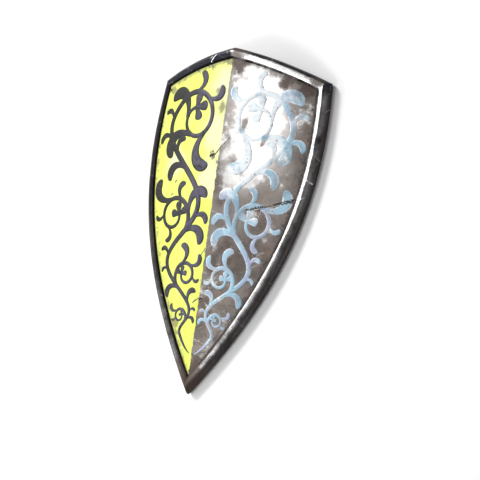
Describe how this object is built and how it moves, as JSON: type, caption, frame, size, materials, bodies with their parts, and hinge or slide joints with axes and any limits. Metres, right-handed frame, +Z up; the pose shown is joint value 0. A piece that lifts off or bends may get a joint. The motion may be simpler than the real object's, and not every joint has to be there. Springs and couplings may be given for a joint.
{
  "type": "heater shield",
  "caption": "Steel heater shield with a creased face, half painted and half bare, raised vine scrolls and a rolled rim, lying face up.",
  "frame": {"origin": "under the middle of the shield's length and width, on the surface it lies on", "axes": "+Y from the tip to the top edge, +Z up out of the face, +X to the bare steel half"},
  "size_m": [0.526, 0.848, 0.0853],
  "materials": {
    "plate": "left half yellow paint, right half worn bare steel, raised scroll on both",
    "rim": "dark worn steel with bright bevels"
  },
  "bodies": {
    "root": {"body_plate": "plate", "rolled_rim": "rim"}
  },
  "joints": []
}
